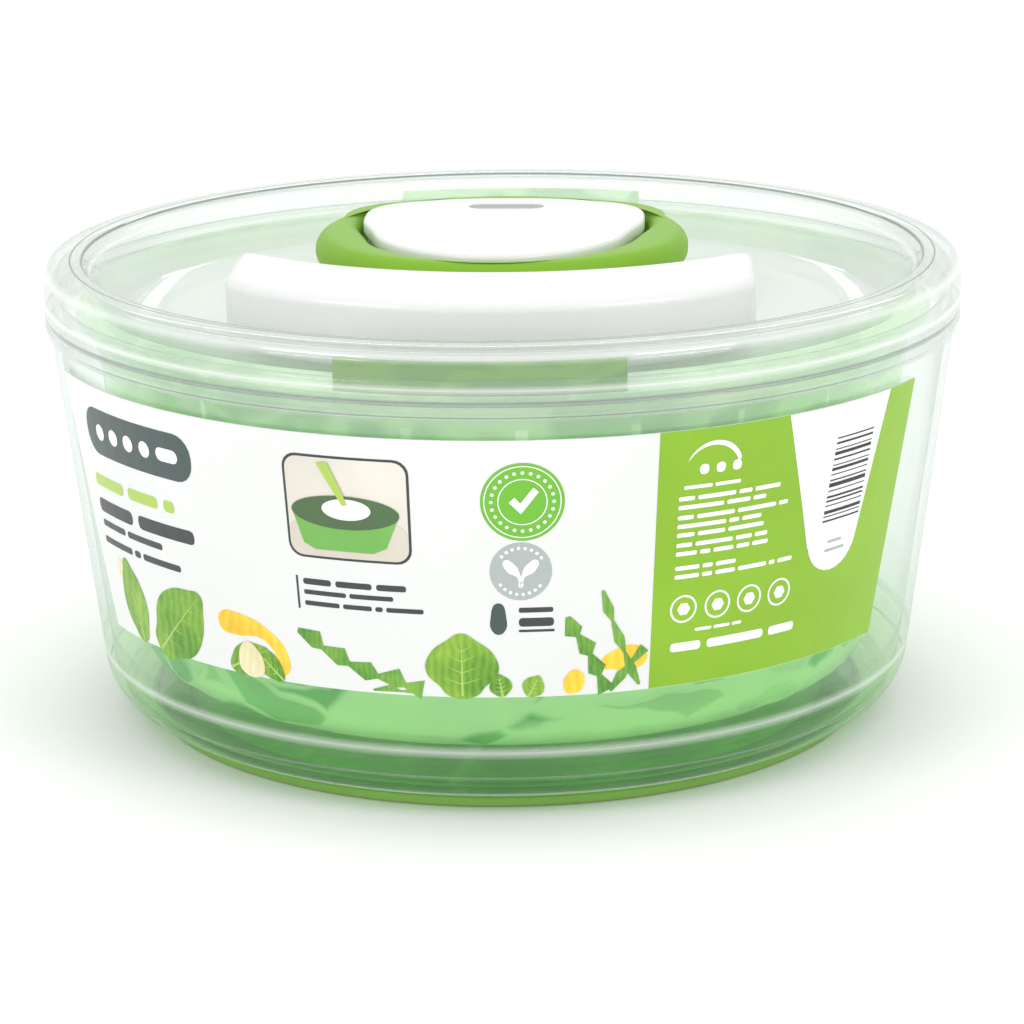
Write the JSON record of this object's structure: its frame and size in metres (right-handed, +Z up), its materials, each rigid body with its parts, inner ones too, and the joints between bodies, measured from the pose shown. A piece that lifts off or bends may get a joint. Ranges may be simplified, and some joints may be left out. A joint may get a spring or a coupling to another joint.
{
  "type": "salad spinner",
  "caption": "Round pull-cord salad spinner: clear bowl and lid, green spinning basket, white drive housing with a green pull ring and a press-down brake bar.",
  "frame": {"origin": "on the table, under the middle of the foot ring", "axes": "+Z up along the spin axis, -Y towards the front, where the label and the brake bar are, +X to the right"},
  "size_m": [0.26, 0.26, 0.1376],
  "materials": {
    "clear_plastic": "water-clear glossy moulded plastic with a faint green tint in its thick edges",
    "green_rubber": "satin leaf-green non-slip rubber",
    "label_film": null,
    "green_clear_plastic": "see-through green moulded plastic",
    "natural_acetal": "unpigmented low-friction plastic",
    "white_plastic": "smooth white moulded plastic with soft edges",
    "grey_plastic": "mid-grey moulded plastic",
    "steel": "bright stainless steel",
    "white_cord": "braided white cord",
    "green_plastic": "satin leaf-green soft-touch plastic",
    "dark_rubber": "dark grey friction rubber"
  },
  "bodies": {
    "bowl": {"bowl": "clear_plastic", "foot_ring": "green_rubber", "label_sleeve": "label_film"},
    "basket": {"basket": "green_clear_plastic", "basket_pivot_bush": "natural_acetal"},
    "lid": {"lid": "clear_plastic", "mechanism_housing": "white_plastic", "bearing_plate": "natural_acetal", "top_cap": "white_plastic", "slot_insert": "grey_plastic", "axle_pin": "steel", "cord_guide": "grey_plastic", "housing_screw_1": "steel", "housing_screw_2": "steel", "housing_screw_3": "steel", "plate_screw_1": "steel", "plate_screw_2": "steel", "cord_lead": "white_cord", "brake_spring_left": "steel", "brake_spring_right": "steel", "thrust_washer": "natural_acetal", "retaining_screw": "steel"},
    "drive": {"drive_disc": "green_clear_plastic", "ratchet_wheel": "natural_acetal"},
    "reel": {"cord_reel": "natural_acetal", "recoil_spring": "steel", "cord_winding": "white_cord"},
    "pawl_a": {"pawl_1": "grey_plastic"},
    "pawl_b": {"pawl_2": "grey_plastic"},
    "handle": {"pull_ring": "green_plastic", "cord_knot": "white_cord"},
    "brake": {"brake_bar": "white_plastic", "brake_pad_left": "dark_rubber", "brake_pad_right": "dark_rubber"}
  },
  "joints": [
    {"name": "lid_lift", "type": "slide", "parent": "bowl", "child": "lid", "axis": [0, 0, 1], "range_m": [0, 0.16]},
    {"name": "basket_spin", "type": "hinge", "parent": "bowl", "child": "basket", "pos_m": [0, 0, 0.02], "axis": [0, 0, 1], "continuous": true},
    {"name": "drive_spin", "type": "hinge", "parent": "lid", "child": "drive", "pos_m": [0, 0, 0.106], "axis": [0, 0, 1], "continuous": true},
    {"name": "handle_pull", "type": "slide", "parent": "lid", "child": "handle", "axis": [0, 0, 1], "range_m": [0, 0.5], "stiffness_N_per_m": 5, "springref_m": -0.3},
    {"name": "reel_spin", "type": "hinge", "parent": "lid", "child": "reel", "pos_m": [0, 0, 0.126], "axis": [0, 0, 1], "range_deg": [0, 1441]},
    {"name": "pawl_1_swing", "type": "hinge", "parent": "reel", "child": "pawl_a", "pos_m": [0.0195, 0, 0.12], "axis": [0, 0, 1], "range_deg": [0, 8]},
    {"name": "pawl_2_swing", "type": "hinge", "parent": "reel", "child": "pawl_b", "pos_m": [-0.0195, 0, 0.12], "axis": [0, 0, 1], "range_deg": [0, 8]},
    {"name": "brake_press", "type": "slide", "parent": "lid", "child": "brake", "axis": [0, 0, -1], "range_m": [0, 0.0025], "stiffness_N_per_m": 2000, "springref_m": -0.002, "deforming": ["brake_spring_left", "brake_spring_right"]}
  ],
  "couplings": [
    {"joint": "drive_spin", "follows": "basket_spin", "ratio": 1},
    {"joint": "reel_spin", "follows": "handle_pull", "rad_per_m": 50.265}
  ]
}
